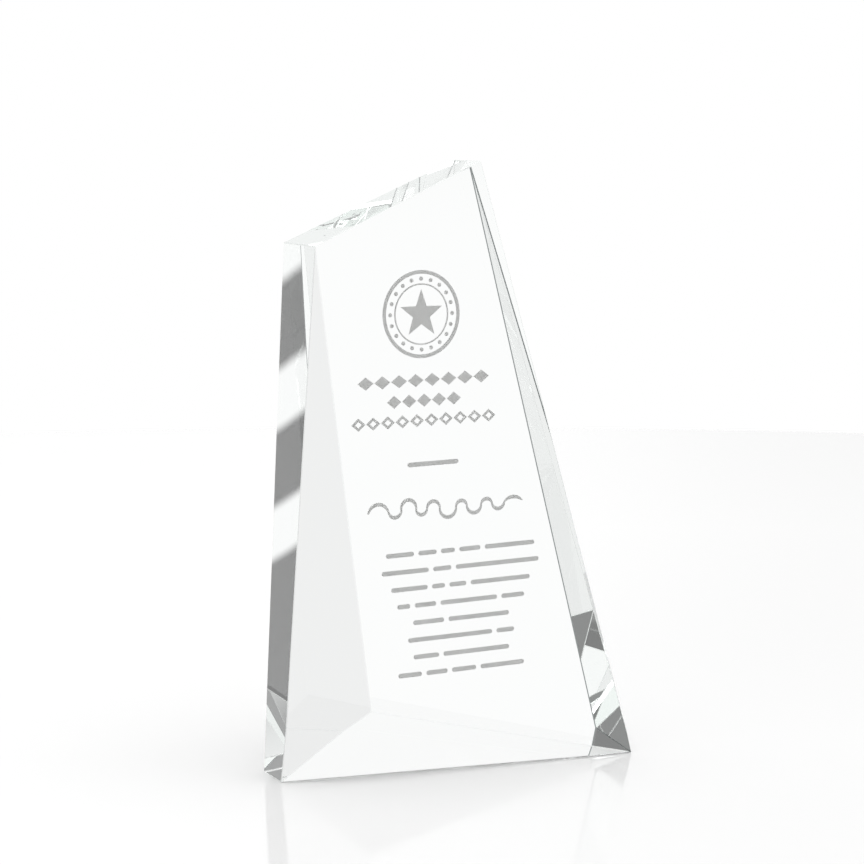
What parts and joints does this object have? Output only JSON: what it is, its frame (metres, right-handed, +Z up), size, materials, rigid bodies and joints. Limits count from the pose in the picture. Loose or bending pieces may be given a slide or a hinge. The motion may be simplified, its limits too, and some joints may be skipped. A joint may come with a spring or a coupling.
{
  "type": "crystal award",
  "caption": "Tall faceted block of clear optical crystal with a sloping top, undercut foot and frosted etched artwork on its front face.",
  "frame": {"origin": "centre of the bounding box, on the surface that the foot rests on", "axes": "+Z up; the award faces -Y; +X is the viewer's right when looking at the front"},
  "size_m": [0.1593, 0.0381, 0.2538],
  "materials": {
    "crystal": "polished clear optical crystal",
    "frosted_etching": "sandblasted frosted crystal"
  },
  "bodies": {
    "root": {"crystal_block": "crystal", "etched_emblem_rim": "frosted_etching", "etched_emblem_inner_ring": "frosted_etching", "etched_emblem_beads": "frosted_etching", "etched_emblem_star": "frosted_etching", "etched_title_frieze_1": "frosted_etching", "etched_title_frieze_2": "frosted_etching", "etched_title_frieze_3": "frosted_etching", "etched_dedication_rule": "frosted_etching", "etched_recipient_flourish": "frosted_etching", "etched_citation_line_1": "frosted_etching", "etched_citation_line_2": "frosted_etching", "etched_citation_line_3": "frosted_etching", "etched_citation_line_4": "frosted_etching", "etched_citation_line_5": "frosted_etching", "etched_citation_line_6": "frosted_etching", "etched_citation_line_7": "frosted_etching", "etched_citation_line_8": "frosted_etching"}
  },
  "joints": []
}
